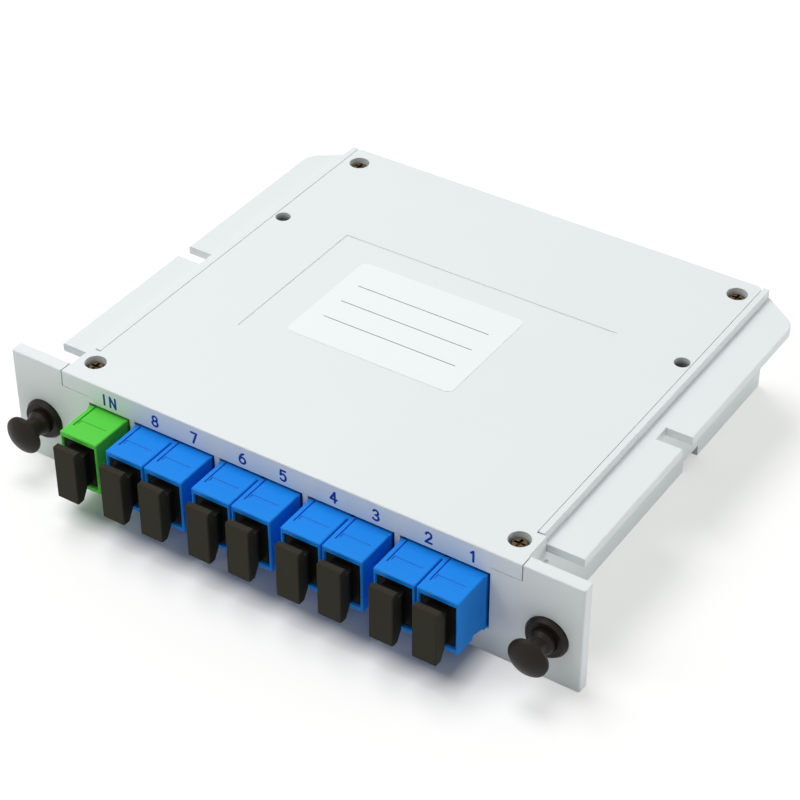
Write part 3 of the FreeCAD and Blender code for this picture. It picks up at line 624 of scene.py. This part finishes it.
def print_mark(name, letters, x):
    """Lays the beads of some letters, spread evenly about x, on the front strip."""
    vertices, faces, count = [], [], 0
    for place, letter in enumerate(letters):
        offset = x + (place - (len(letters) - 1) / 2) * INPUT_MARK_SPREAD
        for stroke in MARKS[letter]:
            spots, quads = bead(stroke * MARK_HEIGHT, STROKE_WIDTH, INK_HEIGHT)
            vertices.append(np.stack([
                spots[:, 0] + offset, front_plane - spots[:, 2], spots[:, 1] + mark_foot,
            ], axis=1))
            faces.append(quads + count)
            count += len(spots)
    piece = mesh_piece(name, np.concatenate(vertices), np.concatenate(faces), ink)
    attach(piece, "housing")


for port in ports:
    low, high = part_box("adapter_" + port)
    mark_middle = float(low[0] + high[0]) / 2 * PRINT_STRETCH + PRINT_SHIFT
    print_mark("print_" + port, "IN" if port == "in" else port, mark_middle)
print("printed", len(ports), "marks with their feet at", round(mark_foot / MM, 2), "mm")

# %% [markdown]
# Last comes the set. White product shots keep the floor white for the camera
# and grey where the object shades it, so part of the floor's light is a glow
# of its own. Under the object behind the port row that glow is cut away, which
# paints a shadow on the floor beneath the adapters and caps. Far from the
# object the floor is plain white, so it meets the sky unseen. Light that
# bounces off the floor onto the object comes from a plain pale floor instead.

# %% Floor
WHITE = (1.0, 1.0, 1.0, 1.0)
FLOOR_HALF = 3.0
FLOOR_DROP = 0.02 * MM
FLOOR_SEEN = (0.6, 0.6, 0.6, 1.0)
FLOOR_BOUNCE = (0.9, 0.9, 0.9, 1.0)
FLOOR_GLOW_COLOUR = (1.0, 1.0, 0.98, 1.0)
FLOOR_GLOW = 0.455
PAINTED_SHADOW_RAMP = 5.3 * MM
PLAIN_START = 0.15
PLAIN_RAMP = 0.3

floor_mesh = bpy.data.meshes.new("studio_floor")
corners = np.array([(-1, -1), (1, -1), (1, 1), (-1, 1)], float) * FLOOR_HALF
floor_mesh.from_pydata([(x, y, 0.0) for x, y in corners], [], [(0, 1, 2, 3)])
floor = bpy.data.objects.new("studio_floor", floor_mesh)
floor.location.z = model_low[2] - FLOOR_DROP
bpy.context.scene.collection.objects.link(floor)
floor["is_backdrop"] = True

floor_graph = Graph("studio_floor")
middle = (model_low + model_high) / 2
half_depth = float(model_high[1] - model_low[1]) / 2
off_middle = floor_graph.number("ABSOLUTE", floor_graph.along("X"))
off_depth = floor_graph.number("ABSOLUTE", floor_graph.along("Y") - float(middle[1]))

# Painted shadow: under the object behind the port row the floor's glow is cut away, so the floor
# there shows grey.
port_row_edge = float(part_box("adapter_1")[1][0]) + PAINTED_SHADOW_RAMP / 2
painted_shadow_across = ((port_row_edge - off_middle) / PAINTED_SHADOW_RAMP).clamp()
painted_shadow_along = ((half_depth - off_depth) / PAINTED_SHADOW_RAMP).clamp()
glow = floor_graph.node("ShaderNodeEmission", None, {
    "Color": FLOOR_GLOW_COLOUR, "Strength": FLOOR_GLOW,
})
shade = floor_graph.node("ShaderNodeBsdfDiffuse", None, {"Color": FLOOR_SEEN})
near = floor_graph.node("ShaderNodeAddShader", None, {
    0: shade.outputs[0], 1: floor_graph.blend(painted_shadow_across * painted_shadow_along, glow).outputs[0],
})

off_width = off_middle - float(model_high[0])
farther = floor_graph.number("MAXIMUM", off_width, off_depth - half_depth)
far = ((farther - PLAIN_START) / PLAIN_RAMP).clamp()
plain = floor_graph.node("ShaderNodeEmission", None, {"Color": WHITE, "Strength": 1.0})
seen = floor_graph.blend(far, near, plain)
bounce = floor_graph.node("ShaderNodeBsdfDiffuse", None, {"Color": FLOOR_BOUNCE})
floor_shader = floor_graph.blend(floor_graph.looking(), bounce, seen)
floor_mesh.materials.append(floor_graph.finish(floor_shader))
print("floor at", round(floor.location.z / MM, 2), "mm,", 2 * FLOOR_HALF, "m across")

# %% [markdown]
# The sky is a soft light from all round. It is brighter behind the object and
# to its left: the share of each direction that points to the bright side, from
# -1 to 1, picks a strength between the dim and the bright one. The camera sees
# plain white in its place.

# %% Sky
SKY_DIM = 0.2
SKY_BRIGHT = 0.6
SKY_COLOUR = (0.975, 1.0, 0.965, 1.0)
BRIGHT_SIDE = Vector((-0.8, 0.6, 0.0))

sky = bpy.data.worlds.new("studio_sky")
bpy.context.scene.world = sky
sky_graph = Graph("studio_sky", sky)


def sky_light(colour, strength):
    """Even light of one colour and strength."""
    return sky_graph.node("ShaderNodeBackground", None, {"Color": colour, "Strength": strength})


heading = sky_graph.node("ShaderNodeTexCoord").outputs["Generated"]
lean = sky_graph.dot(heading, BRIGHT_SIDE) * 0.5 + 0.5
soft = sky_graph.blend(lean, sky_light(SKY_COLOUR, SKY_DIM), sky_light(SKY_COLOUR, SKY_BRIGHT))
sky_graph.finish(sky_graph.blend(sky_graph.looking(), soft, sky_light(WHITE, 1.0)))
print("sky from", SKY_DIM, "to", SKY_BRIGHT)

# %% [markdown]
# Three square lamps do the rest. The key hangs high overhead and lights the
# lid, the rim lamp stands low on the right behind and lights the right side,
# and the small fill in front on the left lifts the panel and the ports.

# %% Lamps
LAMPS = (
    ("key_softbox", (-0.3, 0.12, 1.1), 0.5, 6.3, (1.0, 0.98, 1.0)),
    ("rim_softbox", (0.95, 0.5, 0.15), 0.5, 3.2, WHITE[:3]),
    ("fill_softbox", (-0.3, -0.4, 0.5), 0.3, 0.85, WHITE[:3]),
)


def softbox(name, place, size, watts, colour):
    """Square lamp at a place, turned to face the middle of the object."""
    data = bpy.data.lights.new(name, "AREA")
    data.size = size
    data.energy = watts
    data.color = colour
    lamp = bpy.data.objects.new(name, data)
    lamp.location = place
    lamp.rotation_euler = (Vector(middle) - lamp.location).to_track_quat("-Z", "Y").to_euler()
    bpy.context.scene.collection.objects.link(lamp)


for lamp_values in LAMPS:
    softbox(*lamp_values)
bpy.context.scene.view_settings.view_transform = "Standard"
print(len(LAMPS), "lamps,", sum(values[3] for values in LAMPS), "W together")
